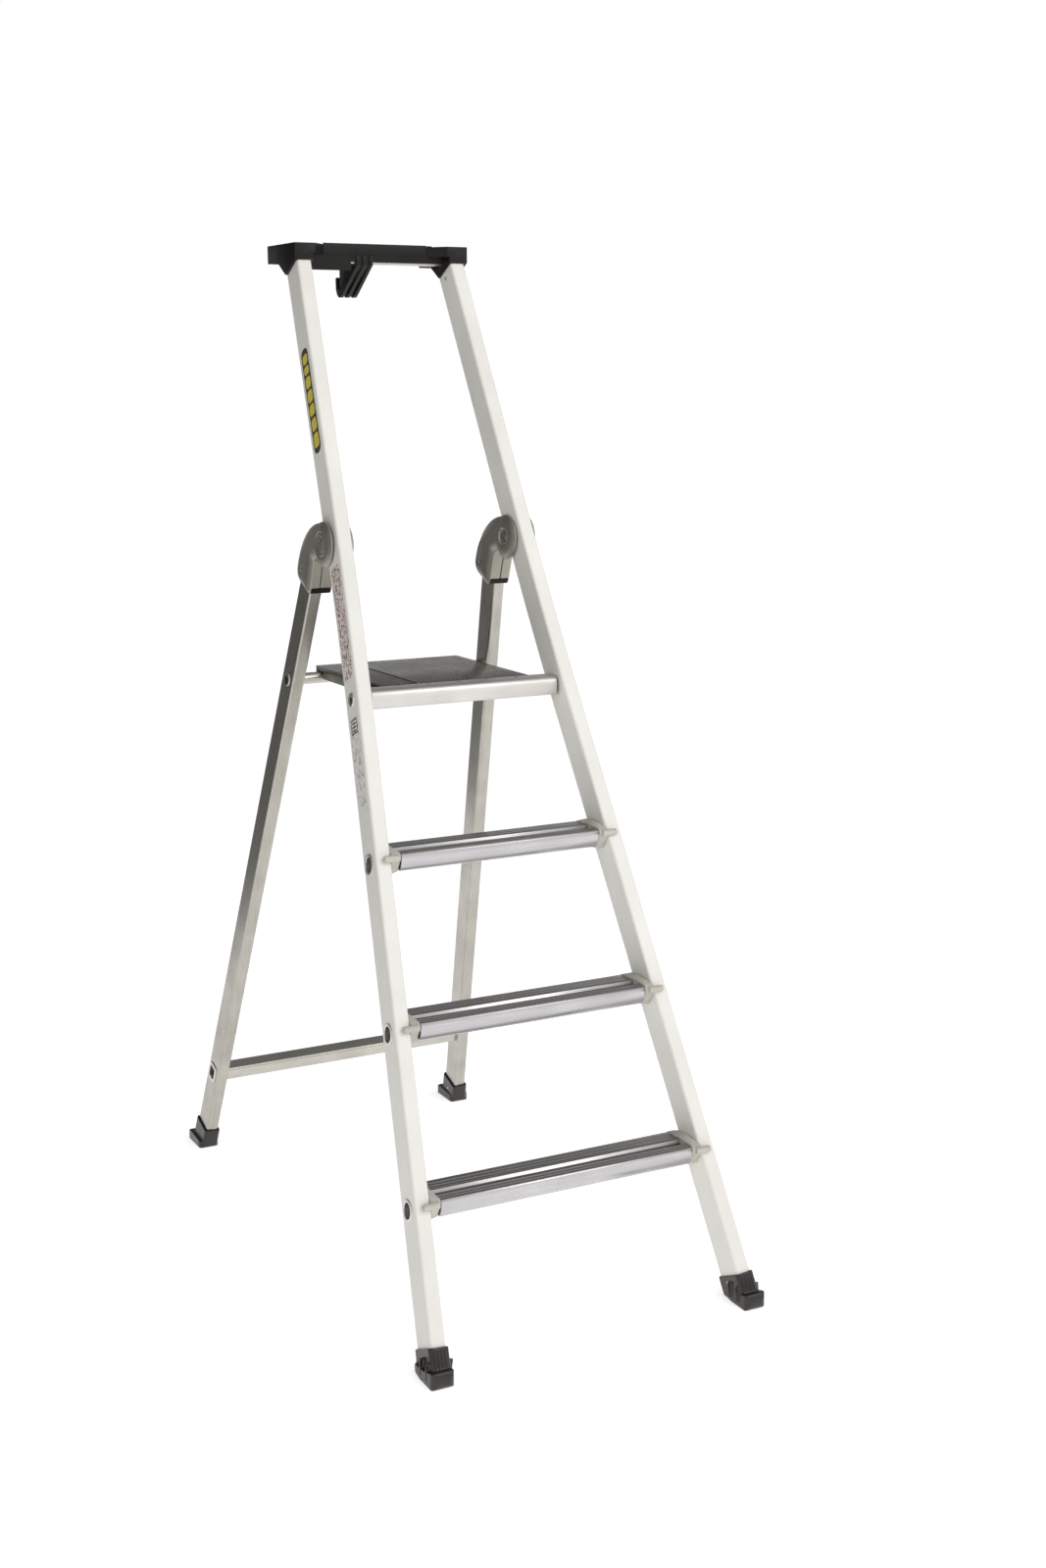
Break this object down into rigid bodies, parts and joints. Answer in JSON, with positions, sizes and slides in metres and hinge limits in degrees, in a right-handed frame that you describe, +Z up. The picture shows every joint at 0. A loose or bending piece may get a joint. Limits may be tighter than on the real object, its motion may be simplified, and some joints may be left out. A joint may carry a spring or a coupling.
{
  "type": "step ladder",
  "caption": "Folding platform step ladder with flared aluminium stiles, ribbed treads, clevis-hinged rear frame, swing-up platform and a tool tray with bucket hook.",
  "frame": {"origin": "floor level, under the middle of the open ladder's footprint", "axes": "+X across the ladder, +Y from the climbing side to the rear legs, +Z up"},
  "size_m": [0.576, 1.1134, 1.643],
  "materials": {
    "stile_aluminium": "satin anodised extrusion",
    "leg_aluminium": "mill finish extrusion",
    "tread_aluminium": "mill finish ribbed extrusion",
    "bare_aluminium": "bright drawn tube",
    "cap_grey_plastic": "light grey moulded",
    "tray_black_plastic": "fine-grained moulded",
    "black_plastic": "moulded",
    "foot_rubber": "moulded rubber",
    "zinc_steel": "zinc plated",
    "hinge_cast": "die-cast, grey metallic lacquer",
    "deck_aluminium": "dimpled sheet",
    "bar_aluminium": "bright anodised",
    "label_film": "printed film"
  },
  "bodies": {
    "front_frame": {"stile_left": "stile_aluminium", "stile_right": "stile_aluminium", "tread_1": "tread_aluminium", "tread_2": "tread_aluminium", "tread_3": "tread_aluminium", "tread_caps_left": "cap_grey_plastic", "tread_caps_right": "cap_grey_plastic", "tread_ferrules": "bare_aluminium", "tool_tray": "tray_black_plastic", "bucket_hook": "tray_black_plastic", "top_rail": "bare_aluminium", "tray_screws": "zinc_steel", "front_foot_left": "foot_rubber", "front_foot_right": "foot_rubber", "front_foot_rivets": "zinc_steel", "platform_pivots": "bare_aluminium", "hinge_bolts": "zinc_steel", "labels": "label_film"},
    "rear_frame": {"leg_left": "leg_aluminium", "leg_right": "leg_aluminium", "crossbar": "leg_aluminium", "crossbar_ferrules": "bare_aluminium", "rest_tube": "leg_aluminium", "hinge_shell_left_outer": "hinge_cast", "hinge_shell_left_inner": "hinge_cast", "hinge_shell_right_outer": "hinge_cast", "hinge_shell_right_inner": "hinge_cast", "hinge_plugs": "black_plastic", "hinge_screws": "zinc_steel", "rear_foot_left": "foot_rubber", "rear_foot_right": "foot_rubber", "rear_foot_rivets": "zinc_steel"},
    "platform": {"platform_deck": "deck_aluminium", "platform_bar": "bar_aluminium", "platform_bar_plugs": "black_plastic", "platform_saddles": "black_plastic", "platform_rivets": "zinc_steel"}
  },
  "joints": [
    {"name": "leg_hinge", "type": "hinge", "parent": "front_frame", "child": "rear_frame", "pos_m": [0, 0.0474, 1.15765], "axis": [1, 0, 0], "range_deg": [-44.4, 0]},
    {"name": "platform_hinge", "type": "hinge", "parent": "front_frame", "child": "platform", "pos_m": [0, -0.0839, 0.9255], "axis": [1, 0, 0], "range_deg": [0, 64.75]}
  ],
  "couplings": [
    {"joint": "platform_hinge", "follows": "leg_hinge", "ratio": -1.4572}
  ]
}
